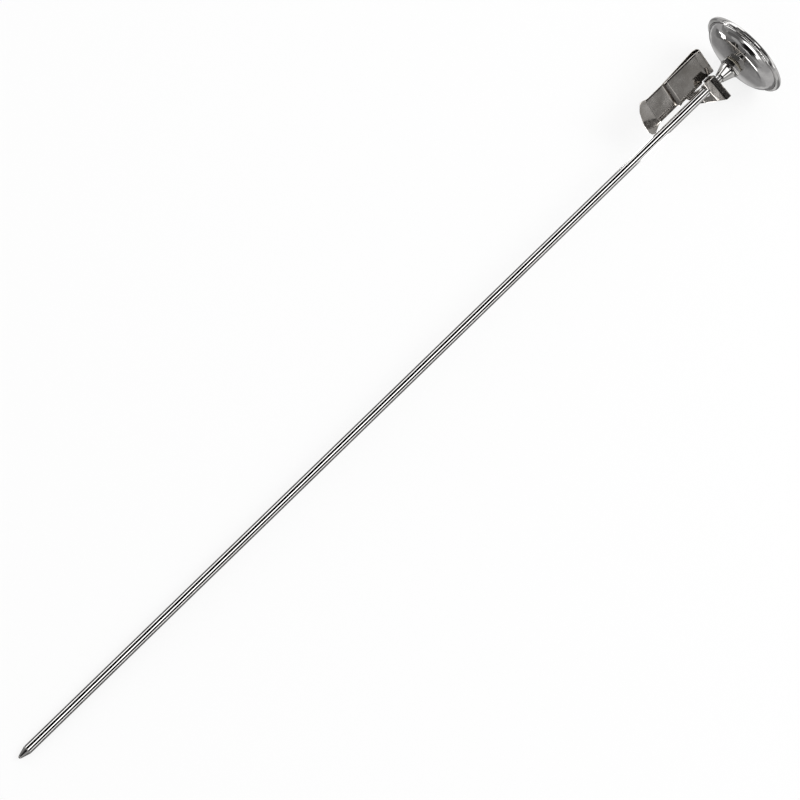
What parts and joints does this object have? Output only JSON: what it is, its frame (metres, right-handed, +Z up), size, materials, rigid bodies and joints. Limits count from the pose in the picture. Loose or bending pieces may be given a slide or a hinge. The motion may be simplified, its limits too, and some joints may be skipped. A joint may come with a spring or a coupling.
{
  "type": "soil thermometer probe",
  "caption": "Dial thermometer on a long thin steel stem, for reading the temperature deep in soil or compost, with a spring clip that slides on the stem.",
  "frame": {"origin": "centre of the box's bottom face, on the surface that the thermometer lies on", "axes": "+X from the stem's point to the head, the way the dial faces; +Z up, towards the dial's twelve o'clock; +Y to the dial's three o'clock. The stem leans up by 2.55 degrees from the point to the head, because it lies on the rim of the head and the end of the stem"},
  "size_m": [0.5164, 0.05, 0.05],
  "materials": {
    "polished_steel": "polished stainless steel",
    "satin_steel": "satin stainless steel",
    "spring_steel": "bright rolled stainless steel",
    "bimetal": "rolled strip",
    "brass": "turned",
    "dial_white": "satin printed",
    "black_paint": "satin black",
    "white_plastic": "gloss",
    "nylon": "natural",
    "seal_rubber": "matt",
    "glass": "clear"
  },
  "bodies": {
    "probe": {"stem_tube": "polished_steel", "stem_tip": "polished_steel", "coil_anchor": "brass", "bimetal_coil": "bimetal", "shaft_guide_lower": "nylon", "shaft_guide_middle": "nylon", "shaft_guide_upper": "nylon", "stem_ferrule": "polished_steel", "hex_collar": "polished_steel", "friction_washer": "nylon", "retaining_ring": "spring_steel"},
    "head": {"case_back": "polished_steel", "bezel_ring": "satin_steel", "window_gasket": "seal_rubber", "window": "glass", "dial_spacer": "satin_steel", "dial_plate": "dial_white"},
    "movement": {"coil_collar": "brass", "drive_shaft": "spring_steel", "pointer": "black_paint", "pointer_hub": "black_paint", "pointer_cap": "white_plastic"},
    "clip": {"clip_spring": "spring_steel"}
  },
  "joints": [
    {"name": "pointer_turn", "type": "hinge", "parent": "probe", "child": "movement", "pos_m": [0.24932, 0, 0.02472], "axis": [0.999, 0, 0.0445], "range_deg": [-40.7, 218.3], "stiffness_Nm_per_rad": 0.0004},
    {"name": "head_turn", "type": "hinge", "parent": "probe", "child": "head", "pos_m": [0.24932, 0, 0.02472], "axis": [0.999, 0, 0.0445], "continuous": true},
    {"name": "clip_slide", "type": "slide", "parent": "probe", "child": "clip", "axis": [0.999, 0, 0.0445], "range_m": [-0.33, 0.001]}
  ]
}
